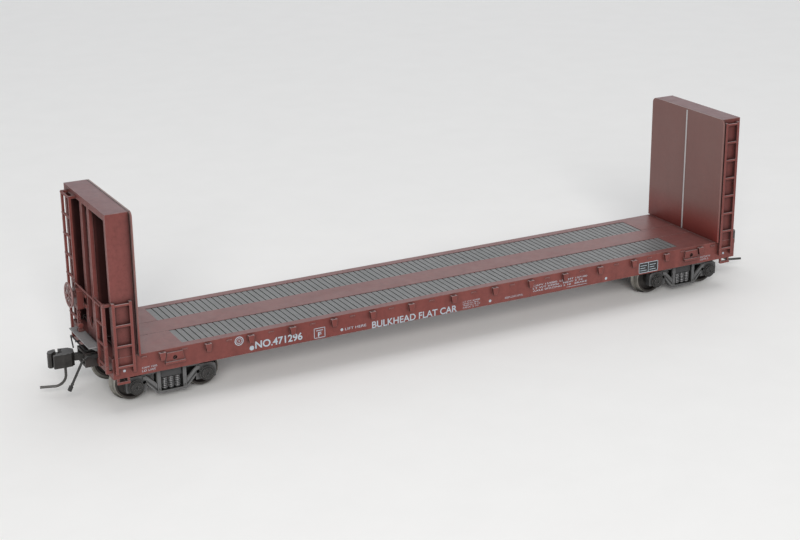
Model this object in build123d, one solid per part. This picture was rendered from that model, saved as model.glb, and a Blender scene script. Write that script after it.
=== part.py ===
from build123d import *
import math
import os

os.makedirs("parts", exist_ok=True)

# ---------------------------------------------------------------- dimensions
# HO scale (1:87) bulkhead flat car.  Millimetres.  +X runs along the car to
# its A end, the B (hand brake) end is at -X, +Z is up.  Heights below are
# above the rail head and every piece is lifted by FLANGE on export, so Z = 0
# is the lowest point of the wheel flanges.
FLANGE = 0.64            # wheel flange depth below the rail head
HALF_LEN = 100.5         # end sill face from the car centre
HALF_W = 16.8            # side sill face from the centre line
DECK_Z = 15.03           # deck top
DECK_T = 1.6
SILL_Z = 9.28            # bottom of the side sills
SILL_T = 1.0

BK_FACE = 93.03          # load face of a bulkhead
BK_PLATE = 0.64          # face plate thickness
BK_REAR = 99.9           # rear edge of the bulkhead box
BK_TOP = 53.62
BK_WALL = 1.2
BK_ROOF = 1.7
PLATE_HALF = 17.74       # face plate half width
POST_Y = 2.9
POST_W = 1.7

STRIP_X = 80.5           # floor strip half length
STRIP_Y0, STRIP_Y1 = 4.25, 14.3
STRIP_N = 90

POCKET_X = [0.0, 13.65, 25.8, 37.65, 50.0, 62.2, 74.35, 87.1]
POCKET_TOP = 14.5
PLAT_Z = 15.45           # top of the brakeman's platform

TRUCK_X = 83.7           # truck centre
WHEELBASE = 19.8
WHEEL_R = 4.815
BACK_TO_BACK = 14.5
WHEEL_W = 2.8
FRAME_Y0, FRAME_Y1 = 11.6, 13.6   # side frame inner and outer faces

COUPLER_Z = 10.45
PIVOT_X = 98.5           # coupler pivot
SWING = 10.0             # couplers rest swung to their left by this much
BOX_X0, BOX_X1 = 95.2, 103.6
BOX_W = 3.4
BOX_Z0, BOX_Z1 = 8.5, 12.5

RUNG_Z = [12.7 + 5.61 * i for i in range(8)]
LADDER_R = 0.34

WHEEL_BRAKE = (-103.9, 6.1, 26.0)  # brake wheel centre
WHEEL_BRAKE_R = 3.5


# ---------------------------------------------------------------- helpers
def bx(x0, x1, y0, y1, z0, z1):
    x0, x1 = min(x0, x1), max(x0, x1)
    y0, y1 = min(y0, y1), max(y0, y1)
    z0, z1 = min(z0, z1), max(z0, z1)
    return Pos((x0 + x1) / 2, (y0 + y1) / 2, (z0 + z1) / 2) * Box(
        x1 - x0, y1 - y0, z1 - z0
    )


def cyl(axis, r, a, b, u, v):
    # cylinder along an axis from a to b, centred at (u, v) in the other two
    m, h = (a + b) / 2, abs(b - a)
    if axis == "x":
        return Pos(m, u, v) * Rot(0, 90, 0) * Cylinder(r, h)
    if axis == "y":
        return Pos(u, m, v) * Rot(90, 0, 0) * Cylinder(r, h)
    return Pos(u, v, m) * Cylinder(r, h)


def prism_xz(pts, y0, y1):
    # outline in X-Z pushed from y0 to y1
    y0, y1 = min(y0, y1), max(y0, y1)
    f = make_face(Polyline([(x, y0, z) for x, z in pts], close=True))
    return extrude(f, amount=y1 - y0, dir=(0, 1, 0))


def prism_yz(pts, x0, x1):
    x0, x1 = min(x0, x1), max(x0, x1)
    f = make_face(Polyline([(x0, y, z) for y, z in pts], close=True))
    return extrude(f, amount=x1 - x0, dir=(1, 0, 0))


def prism_xy(pts, z0, z1):
    f = make_face(Polyline([(x, y, z0) for x, y in pts], close=True))
    return extrude(f, amount=z1 - z0, dir=(0, 0, 1))


def turned_y(pts, x=0.0, z=0.0):
    # (radius, y) outline turned about a Y axis through (x, z)
    f = make_face(Polyline([(r, y, 0) for r, y in pts], close=True))
    return Pos(x, 0, z) * revolve(f, Axis.Y, 360)


def turned_x(pts, y=0.0, z=0.0):
    f = make_face(Polyline([(x, r, 0) for r, x in pts], close=True))
    return Pos(0, y, z) * revolve(f, Axis.X, 360)


def turned_z(pts, x=0.0, y=0.0):
    f = make_face(Polyline([(r, 0, z) for r, z in pts], close=True))
    return Pos(x, y, 0) * revolve(f, Axis.Z, 360)


def wire(pts, r, bend=None):
    # round rod along points with rounded corners
    bend = bend or r * 2.2
    vs = [Vector(*p) for p in pts]
    path = Polyline(*vs) if len(vs) == 2 else FilletPolyline(*vs, radius=bend)
    d = (vs[1] - vs[0]).normalized()
    pl = Plane(origin=vs[0], z_dir=d)
    return sweep(pl * Circle(r), path=path)


def join(items):
    out = items[0]
    for s in items[1:]:
        out = out + s
    return out


def turn(s):
    # the other end of the car is the same, half a turn about the centre
    return Rot(0, 0, 180) * s


def save(node, items):
    if not isinstance(items, (list, tuple)):
        items = [items]
    solids = []
    for s in items:
        solids += list(s.solids())
    solids = [Pos(0, 0, FLANGE) * s for s in solids]
    shape = solids[0] if len(solids) == 1 else Compound(children=solids)
    export_step(shape, "parts/" + node + ".step")


# ---------------------------------------------------------------- deck body
deck = bx(-HALF_LEN, HALF_LEN, -HALF_W, HALF_W, DECK_Z - DECK_T, DECK_Z)
for s in (-1, 1):
    deck += bx(-HALF_LEN, HALF_LEN, s * (HALF_W - SILL_T), s * HALF_W, SILL_Z,
               DECK_Z - 0.5)
    deck += bx(s * (HALF_LEN - SILL_T), s * HALF_LEN, -HALF_W, HALF_W,
               SILL_Z, DECK_Z - 0.5)
# passage for the draft boxes through the end sills
for s in (-1, 1):
    deck -= bx(s * (HALF_LEN + 1), s * (HALF_LEN - 2), -3.55, 3.55,
               SILL_Z - 1, DECK_Z - DECK_T)
# recesses for the floor strips, drawn joints at their ends
cuts = []
for s in (-1, 1):
    cuts.append(bx(-STRIP_X, STRIP_X, s * STRIP_Y0, s * STRIP_Y1,
                   DECK_Z - 0.5, DECK_Z + 1))
    for e in (-1, 1):
        cuts.append(bx(e * STRIP_X, e * BK_FACE, s * STRIP_Y0 - 0.07,
                       s * STRIP_Y0 + 0.07, DECK_Z - 0.12, DECK_Z + 1))
# fine joint across the deck at the foot of each bulkhead
for e in (-1, 1):
    cuts.append(bx(e * 92.74, e * 92.86, -HALF_W - 1, HALF_W + 1,
                   DECK_Z - 0.12, DECK_Z + 1))
deck -= cuts

pockets = []
holes = []
px = sorted({round(s * v, 3) for v in POCKET_X for s in (-1, 1)})
for s in (-1, 1):
    for x in px:
        z1, z0 = POCKET_TOP, POCKET_TOP - 2.1
        y0, y1 = s * (HALF_W - 0.2), s * (HALF_W + 0.95)
        pockets.append(prism_xz([(x - 0.9, z1), (x + 0.9, z1),
                                 (x + 0.55, z0), (x - 0.55, z0)], y0, y1))
        holes.append(bx(x - 0.5, x + 0.5, s * (HALF_W + 0.08),
                        s * (HALF_W + 0.65), z0 - 1, z1 + 1))
    # small tie-down tabs halfway between the pockets
    for a, b in zip(px[:-1], px[1:]):
        m = (a + b) / 2
        pockets.append(bx(m - 0.75, m + 0.75, s * (HALF_W - 0.2),
                          s * (HALF_W + 0.18), 13.9, 14.25))
    for e in (-1, 1):
        pockets.append(bx(e * 92.0 - 0.75, e * 92.0 + 0.75,
                          s * (HALF_W - 0.2), s * (HALF_W + 0.28),
                          13.9, 14.25))
        # towing bracket: plate, foot ledge and rope hole
        c = e * TRUCK_X
        pockets.append(prism_xz([(c - 2.7, 11.1), (c + 2.7, 11.1),
                                 (c + 2.2, 14.0), (c - 2.2, 14.0)],
                                s * (HALF_W - 0.2), s * (HALF_W + 0.5)))
        pockets.append(bx(c - 2.75, c + 2.75, s * (HALF_W - 0.2),
                          s * (HALF_W + 0.95), 11.05, 11.6))
        holes.append(cyl("y", 0.6, s * (HALF_W - 0.4), s * (HALF_W + 1),
                         c, 12.55))
deck += pockets
deck -= holes
save("deck_body", deck)

# ---------------------------------------------------------------- strips
pitch = 2 * STRIP_X / STRIP_N
for name, s in (("floor_strip_left", 1), ("floor_strip_right", -1)):
    a, b = s * (STRIP_Y0 + 0.06), s * (STRIP_Y1 - 0.06)
    st = bx(-STRIP_X + 0.06, STRIP_X - 0.06, a, b, DECK_Z - 0.5, DECK_Z - 0.1)
    st -= [bx(-STRIP_X + pitch * i - 0.17, -STRIP_X + pitch * i + 0.17,
              a - s, b + s, DECK_Z - 0.3, DECK_Z + 1)
           for i in range(1, STRIP_N)]
    save(name, st)

# ---------------------------------------------------------------- underframe
LINE = [(-99.4, -4.9, 12.3), (-8, -4.9, 12.3), (8, 4.9, 12.3),
        (99.4, 4.9, 12.3)]   # train line pipe
under_z = DECK_Z - DECK_T
frame = bx(-95.1, 95.1, -2.9, 2.9, 10.2, under_z)
frame += prism_xz([(-70, 10.3), (-60, 6.6), (60, 6.6), (70, 10.3)], -2.9, 2.9)
for s in (-1, 1):
    frame += bx(s * 95.0, s * 100.3, -3.4, 3.4, BOX_Z1 + 0.42, under_z)
    frame += bx(s * (TRUCK_X - 2.3), s * (TRUCK_X + 2.3), -15.7, 15.7, 11.3,
                under_z)
    frame += cyl("z", 3.5, 9.45, 11.4, s * TRUCK_X, 0)
for x in (-63, -37.8, -12.6, 12.6, 37.8, 63):
    frame += prism_yz([(-15.7, under_z), (15.7, under_z), (15.7, 12.0),
                       (2.9, 9.6), (-2.9, 9.6), (-15.7, 12.0)], x - 0.4, x + 0.4)
for s in (-1, 1):
    frame -= cyl("z", 1.02, 9, 12.6, s * TRUCK_X, 0)
frame -= wire(LINE, 0.46, 4.0)
save("underframe", frame)

# ---------------------------------------------------------------- bulkheads


def bulkhead_frame():
    # modelled at the B (-X) end: rear is towards -X, box is open at the back
    x0, x1 = -BK_REAR, -(BK_FACE + BK_PLATE)
    f = bx(x0, x1, -HALF_W, HALF_W, BK_TOP - BK_ROOF, BK_TOP)
    for s in (-1, 1):
        f += bx(x0, x1, s * (HALF_W - BK_WALL), s * HALF_W, DECK_Z, BK_TOP)
        # I-section post, deeper towards its foot, with a flared toe
        yc = s * POST_Y
        f += prism_xz([(x0, BK_TOP - 0.6), (x0 + 1.0, BK_TOP - 0.6),
                       (x0 + 1.0, DECK_Z), (x0 - 0.35, DECK_Z)],
                      yc - POST_W / 2, yc + POST_W / 2)
        f += bx(x0 + 0.5, x1, yc - 0.3, yc + 0.3, DECK_Z, BK_TOP - 0.6)
    # bottom channel
    f += bx(x0 + 2.2, x1, -HALF_W, HALF_W, DECK_Z, DECK_Z + 1.0)
    # gusset joining the two post feet
    g = POST_Y - POST_W / 2 + 0.1
    f += prism_yz([(-g, DECK_Z), (g, DECK_Z), (g, 20.5), (0.25, 18.0),
                   (-0.25, 18.0), (-g, 20.5)], x0 - 0.3, x0 + 0.3)
    return f


def bulkhead_plate():
    z1 = BK_TOP + 0.07
    f = bx(-(BK_FACE + BK_PLATE), -BK_FACE, -PLATE_HALF, PLATE_HALF,
           DECK_Z, z1)
    tall = [e for e in f.edges().filter_by(Axis.X)
            if e.center().Z > z1 - 0.01]
    f = fillet(tall, 1.5)
    # joint cover strip on the load face
    f += bx(-BK_FACE - 0.1, -BK_FACE + 0.14, -0.28, 0.28, DECK_Z + 0.05,
            z1 - 0.4)
    return f


bf = bulkhead_frame()
bp_ = bulkhead_plate()
save("bulkhead_frame_b", bf)
save("bulkhead_frame_a", turn(bf))
save("bulkhead_face_b", bp_)
save("bulkhead_face_a", turn(bp_))

# ---------------------------------------------------------------- ladders
SIDE_Y = HALF_W + 0.8       # rung line of a side ladder
SIDE_SHORT = (94.95, 99.6)
SIDE_TALL = (94.35, 98.6)


def side_ladder(n, e, s):
    # e: which end (+1 is +X), s: which side; flat stiles, round rungs
    top = RUNG_Z[n - 1] + (0.6 if n > 4 else 0.75)
    x0, x1 = SIDE_TALL if n > 4 else SIDE_SHORT
    out = []
    for x in (x0, x1):
        out.append(bx(e * x - 0.38, e * x + 0.38, s * (SIDE_Y - 0.3),
                      s * (SIDE_Y + 0.3), 10.9, top))
        # feet on the side sill and on the bulkhead
        out.append(bx(e * x - 0.38, e * x + 0.38, s * HALF_W,
                      s * (SIDE_Y), 10.9, 11.5))
        out.append(bx(e * x - 0.38, e * x + 0.38, s * HALF_W,
                      s * (SIDE_Y), top - 0.6, top))
        if n > 4:
            out.append(bx(e * x - 0.38, e * x + 0.38, s * HALF_W,
                          s * (SIDE_Y), 32.2, 32.8))
    for z in RUNG_Z[:n]:
        out.append(cyl("x", LADDER_R, e * (x0 - 0.05),
                       e * (x1 + 0.05), s * SIDE_Y, z))
    return join(out)


def end_ladder(n, s, y0, y1):
    # at the B end, between y0 and y1 on side s; y1 is the outer stile
    tall = n > 4
    xr = -(HALF_LEN + (0.9 if tall else 1.1))      # rung line
    top = RUNG_Z[n - 1] + (0.5 if tall else 0.45)
    out = []
    for y, w in ((y0, 0.32), (y1, 0.32 if tall else 0.48)):
        back = xr - (0.3 if tall or y == y0 else 0.48)
        foot = PLAT_Z + 0.02 if tall and y == y0 else 11.0
        out.append(bx(back, xr + 0.35, s * y - w, s * y + w, foot, top))
        if foot < 12:
            out.append(bx(xr, -HALF_LEN, s * y - w, s * y + w, 11.0, 11.7))
        if tall:
            # head bracket bent forward to the bulkhead frame
            out.append(bx(xr, -BK_REAR, s * y - w, s * y + w, top - 0.7, top))
    for z in RUNG_Z[1 if tall else 0:n]:
        out.append(cyl("y", LADDER_R, s * (y0 - 0.05), s * (y1 + 0.6),
                       xr, z))
    if not tall:
        # tie from the outer stile to the corner of the bulkhead frame
        out.append(bx(xr, -BK_REAR, s * y1, s * (HALF_W - 0.1), top - 0.7,
                      top))
    return join(out)


sl_short = side_ladder(4, -1, -1)
sl_tall = side_ladder(8, -1, 1)
el_short = end_ladder(4, -1, 9.7, 15.75)
el_tall = end_ladder(8, 1, 7.5, 14.0)
save("side_ladder_short_b", sl_short)
save("side_ladder_tall_b", sl_tall)
save("end_ladder_short_b", el_short)
save("end_ladder_tall_b", el_tall)
save("side_ladder_short_a", turn(sl_short))
save("side_ladder_tall_a", turn(sl_tall))
save("end_ladder_short_a", turn(el_short))
save("end_ladder_tall_a", turn(el_tall))

# grab bar across each end between the ladders
GRAB_X = 102.2
grab = cyl("y", 0.22, 7.6, -15.2, -GRAB_X, 29.5)
save("end_grab_bars", [grab, turn(grab)])

# sill steps under the four corners
steps = []
for e in (-1, 1):
    for s in (-1, 1):
        # the steps hang below the side ladders
        lo, hi = (96.1, 99.55) if e == s else (95.2, 98.6)
        x0, x1 = e * lo, e * hi
        ya, yb = s * (HALF_W - 0.5), s * (HALF_W + 0.05)
        st = bx(x0, x0 + e * 0.6, ya, yb, 7.75, SILL_Z)
        st += bx(x1 - e * 0.65, x1, ya, yb, 7.75, SILL_Z)
        st += bx(x0, x1, ya, s * (HALF_W + 0.3), 7.75, 8.4)
        steps.append(st)
save("sill_steps", steps)

# ---------------------------------------------------------------- brake gear
plat_z = PLAT_Z
plat = bx(-103.55, -HALF_LEN - 0.02, -7.3, 9.6, plat_z - 0.35, plat_z)
for y in (-6.4, 8.1):
    plat += prism_xz([(-103.2, plat_z - 0.3), (-HALF_LEN - 0.02, plat_z - 0.3),
                      (-HALF_LEN - 0.02, plat_z - 2.0)], y - 0.2, y + 0.2)
save("end_platform", plat)

bxw, byw, bzw = WHEEL_BRAKE
rim = Pos(bxw, byw, bzw) * Rot(0, 90, 0) * Torus(WHEEL_BRAKE_R - 0.3, 0.3)
wheel = rim + cyl("x", 1.0, bxw - 0.35, bxw + 0.35, byw, bzw)
for k in range(8):
    a = math.radians(90 + 45 * k)
    L = WHEEL_BRAKE_R - 0.25
    sp = Pos(bxw, byw, bzw) * Rot(math.degrees(a), 0, 0) * Pos(0, L / 2, 0) \
        * Box(0.32, L, 0.46)
    wheel += sp
wheel -= cyl("x", 0.3, bxw - 1, bxw + 1, byw, bzw)
save("brake_wheel", wheel)
save("brake_spindle", cyl("x", 0.3, bxw - 0.5, bxw + 3.2, byw, bzw)
     + turned_x([(0, bxw - 0.7), (0.42, bxw - 0.7), (0.42, bxw - 0.36),
                 (0, bxw - 0.36)], byw, bzw))

hx0, hx1 = -102.4, -100.55
house = prism_yz([(4.3, bzw - 3.9), (6.4, bzw - 3.9), (7.12, bzw - 3.0),
                  (7.12, bzw + 1.2), (6.5, bzw + 2.0), (4.9, bzw + 2.0),
                  (4.1, bzw + 1.2), (4.1, bzw - 3.5)], hx0, hx1)
house += cyl("x", 1.0, hx0 - 0.45, hx0 + 0.1, byw, bzw)
house += cyl("x", 0.45, hx0 - 0.2, hx0 + 0.1, 4.9, bzw - 2.6)
# mounting bars on the post of the bulkhead
for z in (bzw - 3.2, bzw - 0.3):
    house += bx(hx1 - 0.1, -BK_REAR - 0.3, 2.2, 7.0, z, z + 1.0)
house -= cyl("x", 0.35, hx0 - 1, bxw + 3.3, byw, bzw)
save("brake_housing", house)

cx_, cy_ = -101.45, 6.1
chain = cyl("z", 0.2, plat_z + 2.3, bzw - 3.95, cx_, cy_)
# links of the brake chain
for i in range(4):
    chain += Pos(cx_, cy_, plat_z + 2.9 + i * 0.95) * Rot(
        0, 0, 90 * (i % 2)) * Box(0.62, 0.34, 0.62)
save("brake_chain", chain)
crank = bx(-102.2, -100.7, 5.2, 7.1, plat_z, plat_z + 0.4)
crank += prism_xz([(-102.1, plat_z + 0.35), (-100.8, plat_z + 0.35),
                   (-101.1, plat_z + 1.8), (-101.8, plat_z + 1.8)],
                  5.8, 6.4)
crank += cyl("y", 0.7, 5.6, 6.6, -101.45, plat_z + 1.55)
save("brake_bell_crank", crank)

# air brake pieces under the deck
res = cyl("x", 1.7, -27, -15, 9.2, 11.0) + Pos(-27, 9.2, 11.0) * Sphere(1.7) \
    + Pos(-15, 9.2, 11.0) * Sphere(1.7)
for x in (-24.5, -17.5):
    res += bx(x - 0.4, x + 0.4, 8.4, 10.0, 11.0, under_z)
res = res - bx(-40, 0, 0, 20, under_z, under_z + 3)
save("air_reservoir", res)
valve = bx(2.2, 5.4, 8.0, 10.8, 11.2, under_z) + cyl("z", 1.0, 10.2, 11.3,
                                                     3.8, 9.4)
valve += cyl("x", 0.7, 5.3, 6.4, 9.4, 12.2)
save("control_valve", valve)
cylr = turned_x([(0, 16.5), (2.0, 16.5), (2.0, 21.5), (1.6, 22.3), (0, 22.3)],
                -9.0, 11.0)
cylr += cyl("x", 0.35, 14.0, 16.6, -9.0, 11.0)
cylr += bx(18.0, 21.0, -9.9, -8.1, 11.6, under_z)
save("brake_cylinder", cylr)
rods = [join([bx(13.3, 14.0, -9.6, -3.2, 10.9, 11.3),
              bx(14.0, 36.9, -4.3, -3.9, 10.9, 11.3),
              bx(13.3, 14.05, -4.3, -3.9, 10.9, 11.3)])]
save("brake_lever", rods)

# train line from end to end, crossing over through the centre sill
save("train_line", wire(LINE, 0.4, 4.0))


def hose():
    # angle cock on the end sill, pipe, hose hanging out to its glad hand
    y = -4.9
    body = wire([(-HALF_LEN - 0.05, y, 12.1), (-103.5, y, 12.28),
                 (-104.96, y, 11.0), (-108.45, y, 4.5)], 0.33, 0.9)
    cock = bx(-102.2, -HALF_LEN - 0.05, y - 0.5, y + 0.5, 11.6, 12.7)
    hand = Pos(-108.6, y, 4.26) * Rot(0, 28, 0) * Box(0.85, 0.9, 1.4)
    return join([body, cock, hand])


# ---------------------------------------------------------------- couplers


def draft_box():
    b = bx(-BOX_X1, -BOX_X0, -BOX_W, BOX_W, BOX_Z0, BOX_Z1 - 0.6)
    b -= bx(-BOX_X1 + 0.7, -BOX_X0 - 0.7, -BOX_W + 0.55, BOX_W - 0.55,
            BOX_Z0 + 0.7, BOX_Z1)
    b -= bx(-BOX_X1 - 1, -BOX_X1 + 1, -2.75, 2.75, BOX_Z0 + 0.7, BOX_Z1)
    b += cyl("z", 1.1, BOX_Z0 + 0.5, BOX_Z1 - 0.7, -PIVOT_X, 0)
    b -= cyl("z", 0.62, BOX_Z0 - 1, BOX_Z1, -PIVOT_X, 0)
    return b


def draft_lid():
    # lid plate with the pad that meets the underframe
    l = bx(-BOX_X1, -BOX_X0, -BOX_W, BOX_W, BOX_Z1 - 0.58, BOX_Z1)
    l += bx(-100.3, -BOX_X0, -BOX_W, BOX_W, BOX_Z1 - 0.1, BOX_Z1 + 0.4)
    l -= cyl("z", 0.62, BOX_Z1 - 2, BOX_Z1 + 2, -PIVOT_X, 0)
    return l


def draft_screw():
    s = cyl("z", 0.6, BOX_Z0 - 0.1, BOX_Z1 + 0.38, -PIVOT_X, 0)
    s += cyl("z", 1.2, BOX_Z0 - 0.8, BOX_Z0 - 0.02, -PIVOT_X, 0)
    s -= bx(-PIVOT_X - 2, -PIVOT_X + 2, -0.18, 0.18, BOX_Z0 - 1, BOX_Z0 - 0.5)
    return s


def centring_spring():
    # thin leaf behind the shank with two side arms
    z0, z1 = COUPLER_Z - 0.6, COUPLER_Z + 0.6
    s = bx(-96.2, -96.0, -2.6, 2.6, z0, z1)
    for k in (-1, 1):
        s += bx(-101.4, -96.0, k * 2.6, k * 2.75, z0, z1)
    return s


db, dl, ds, cs = draft_box(), draft_lid(), draft_screw(), centring_spring()
save("draft_box_b", db)
save("draft_box_a", turn(db))
save("draft_box_lids", [dl, turn(dl)])
save("draft_box_screws", [ds, turn(ds)])
save("centring_springs", [cs, turn(cs)])


KN_X, KN_Y = -108.9, 1.45     # knuckle pin


def coupler_body():
    z0, z1 = COUPLER_Z - 1.85, COUPLER_Z + 1.85
    # shank with its eye
    c = bx(-106.4, -PIVOT_X, -0.85, 0.85, COUPLER_Z - 0.85, COUPLER_Z + 0.85)
    c += cyl("z", 1.75, COUPLER_Z - 0.85, COUPLER_Z + 0.85, -PIVOT_X, 0)
    # head and guard arm, throat open to the front
    c += prism_xy([(-105.4, -1.2), (-105.4, 1.2), (-106.6, 2.35),
                   (-109.3, 2.5), (-109.3, 0.5), (-108.4, 0.1),
                   (-108.4, -0.5), (-109.4, -1.0), (-111.0, -2.2),
                   (-110.8, -2.85), (-108.2, -2.6), (-106.2, -2.2)], z0, z1)
    # slot in the head for the knuckle
    c -= bx(-112, -107.35, -0.25, 4, COUPLER_Z - 1.1, COUPLER_Z + 1.1)
    c -= cyl("z", 1.18, BOX_Z0, BOX_Z1, -PIVOT_X, 0)
    c += cyl("z", 0.42, z0 + 0.3, z1 - 0.3, KN_X, KN_Y)
    return c


def knuckle():
    z0, z1 = COUPLER_Z - 1.0, COUPLER_Z + 1.0
    k = prism_xy([(-107.6, 0.75), (-107.6, 2.0), (-108.5, 2.35),
                  (-110.6, 2.3), (-111.9, 1.6), (-112.3, 0.3),
                  (-112.0, -0.55), (-111.3, -0.7), (-110.9, -0.1),
                  (-110.5, 0.45), (-109.2, 0.55)], z0, z1)
    # the nose is as tall as the head
    k += prism_xy([(-110.0, 2.3), (-110.6, 2.3), (-111.9, 1.6),
                   (-112.3, 0.3), (-112.0, -0.55), (-111.3, -0.7),
                   (-110.9, -0.1), (-110.5, 0.45), (-110.0, 0.5)],
                  COUPLER_Z - 2.3, COUPLER_Z + 1.85)
    # lug under the head that carries the trip pin
    k += bx(-111.0, -107.2, -0.3, 1.6, COUPLER_Z - 2.3, COUPLER_Z - 1.95)
    k -= cyl("z", 0.49, z0 - 2, z1 + 2, KN_X, KN_Y)
    return k


def trip_pin():
    # hangs from the knuckle and curls forward just above the rail
    return wire([(-107.79, 0.3, COUPLER_Z - 2.3), (-107.79, 0.3, 2.42),
                 (-114.73, 1.2, 2.42)], 0.36, 3.2)


cb, kn, tp = coupler_body(), knuckle(), trip_pin()

def rest(s_):
    # resting position: swung about the pivot
    return Pos(-PIVOT_X, 0, 0) * Rot(0, 0, -SWING) * Pos(PIVOT_X, 0, 0) * s_


cb, kn, tp = rest(cb), rest(kn), rest(tp)
save("coupler_b", cb)
save("coupler_a", turn(cb))
save("knuckle_b", kn)
save("knuckle_a", turn(kn))
save("trip_pin_b", tp)
save("trip_pin_a", turn(tp))


def uncoupling_lever():
    # rod across the end with an eye near the coupler and a hanging handle
    return wire([(-101.2, -2.4, 12.75), (-102.9, -2.4, 12.75),
                 (-102.9, 11.2, 12.75), (-102.4, 11.2, 8.9)], 0.2, 0.6)


ul = uncoupling_lever()
brk = bx(-103.1, -HALF_LEN - 0.02, 6.2, 6.7, 12.3, 12.6)
brk += bx(-HALF_LEN - 0.3, -HALF_LEN - 0.02, 5.9, 7.0, 11.9, 12.9)
brk2 = bx(-101.6, -HALF_LEN - 0.02, -2.7, -2.1, 12.6, 12.9)
ul = join([ul, brk, brk2])
save("uncoupling_levers", [ul, turn(ul)])
hb = hose()
save("air_hoses", [hb, turn(hb)])

# ---------------------------------------------------------------- trucks


def side_frame(cx, s):
    y0, y1 = FRAME_Y0, FRAME_Y1
    h = WHEELBASE / 2
    half = [(0, 8.9), (4.1, 8.9), (6.6, 8.15), (8.4, 7.6), (11.5, 7.6),
            (12.4, 7.1), (12.6, 5.8), (12.5, 3.5), (11.9, 3.4), (6.9, 3.4),
            (6.9, 5.0), (4.5, 2.2), (4.1, 1.85), (0, 1.85)]
    pts = half + [(-x, z) for x, z in reversed(half[1:-1])]
    f = prism_xz(pts, y0, y1)
    # triangular windows beside the columns, and the bolster opening
    for k in (-1, 1):
        f -= prism_xz([(k * 4.2, 7.6), (k * 7.1, 7.5), (k * 4.2, 4.7)],
                      y0 - 1, y1 + 1)
    f -= bx(-3.1, 3.1, y0 - 1, y1 + 1, 2.4, 7.9)
    for k in (-1, 1):
        # ribs on the columns, tension member and pedestal roof
        f += bx(k * 3.12, k * 4.05, y1 - 0.1, y1 + 0.3, 2.1, 8.6)
        f += prism_xz([(k * 4.2, 4.55), (k * 7.1, 7.4), (k * 7.9, 7.3),
                       (k * 7.9, 6.6), (k * 6.9, 6.2), (k * 4.2, 3.3)],
                      y1 - 0.1, y1 + 0.3)
        f += prism_xz([(k * 4.1, 1.85), (k * 4.5, 2.2), (k * 6.9, 5.0),
                       (k * 6.9, 5.5), (k * 4.3, 2.7), (k * 4.0, 2.5)],
                      y1 - 0.1, y1 + 0.3)
        # roller bearing with its end cap
        f += cyl("y", 2.0, y1 - 0.1, y1 + 0.5, k * h, WHEEL_R)
        f += cyl("y", 1.45, y1 + 0.4, y1 + 0.95, k * h, WHEEL_R)
        f -= cyl("y", 0.5, y1 + 0.7, y1 + 2, k * h, WHEEL_R)
        # hole in the inner pedestal leg
        f -= cyl("y", 0.5, y0 - 1, y1 + 2, k * 7.5, 5.6)
    f += bx(-4.1, 4.1, y1 - 0.1, y1 + 0.4, 1.85, 2.4)
    # bearing pocket for the axle point
    for k in (-1, 1):
        f -= turned_y([(0, y0 - 1), (0.82, y0 - 1), (0.82, 12.05),
                       (0.2, 13.0), (0, 13.0)], k * h, WHEEL_R)
    if s < 0:
        f = Rot(0, 0, 180) * f
    return Pos(cx, 0, 0) * f


def bolster(cx):
    b = bx(-2.9, 2.9, -13.4, 13.4, 5.95, 7.8)
    b += prism_yz([(-7.0, 7.8), (-4.0, 8.9), (4.0, 8.9), (7.0, 7.8)],
                  -2.9, 2.9)
    b += cyl("z", 3.3, 8.8, 9.35, 0, 0)
    b += cyl("z", 2.6, 5.55, 6.0, 0, 0) - cyl("z", 2.1, 5, 6.0, 0, 0)
    b -= cyl("z", 1.08, 4, 11, 0, 0)
    return Pos(cx, 0, 0) * b


def spring_nests(cx):
    out = []
    for s in (-1, 1):
        for x in (-1.8, 0, 1.8):
            pts = [(0, 2.4)]
            n = 5
            h = (5.95 - 2.4) / n
            for i in range(n):
                z = 2.4 + h * i
                pts += [(0.55, z), (0.78, z + h * 0.25), (0.78, z + h * 0.6),
                        (0.55, z + h * 0.98)]
            pts += [(0.55, 5.95), (0, 5.95)]
            out.append(turned_z(pts, cx + x, s * 12.85))
    return out


def truck_screw(cx):
    s = cyl("z", 1.0, 4.9, 12.5, cx, 0)
    s += cyl("z", 1.9, 4.6, 5.7, cx, 0)
    s -= bx(cx - 3, cx + 3, -0.25, 0.25, 4.5, 5.1)
    return s


for e, tag in ((-1, "b"), (1, "a")):
    cx = e * TRUCK_X
    save("truck_bolster_" + tag, bolster(cx))
    save("side_frame_left_" + tag, side_frame(cx, 1))
    save("side_frame_right_" + tag, side_frame(cx, -1))
    save("truck_springs_" + tag, spring_nests(cx))
save("truck_screws", [truck_screw(-TRUCK_X), truck_screw(TRUCK_X)])

# ---------------------------------------------------------------- wheelsets
back = BACK_TO_BACK / 2
fr = WHEEL_R + FLANGE


def wheel(x, s):
    y = back
    pts = [(1.1, y + 0.05), (1.65, y + 0.05), (1.95, y + 0.95),
           (3.75, y + 0.75), (3.95, y), (5.15, y), (fr - 0.08, y + 0.12),
           (fr, y + 0.3), (fr - 0.1, y + 0.48), (5.0, y + 0.72),
           (WHEEL_R, y + 0.95), (WHEEL_R - 0.09, y + WHEEL_W - 0.1),
           (WHEEL_R - 0.2, y + WHEEL_W), (4.0, y + WHEEL_W),
           (3.8, y + 1.55), (1.95, y + 1.75), (1.7, y + WHEEL_W - 0.1),
           (1.1, y + WHEEL_W - 0.1)]
    w = turned_y(pts, 0, 0)
    if s < 0:
        w = Rot(0, 0, 180) * w
    return Pos(x, 0, WHEEL_R) * w


def axle(x):
    half = [(0, 12.8), (0.1, 12.8), (0.75, 12.0), (0.75, 10.9), (1.1, 10.4),
            (1.1, 6.5), (0.85, 5.5)]
    pts = half + [(r, -y) for r, y in reversed(half)]
    return turned_y(pts, x, WHEEL_R)


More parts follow.
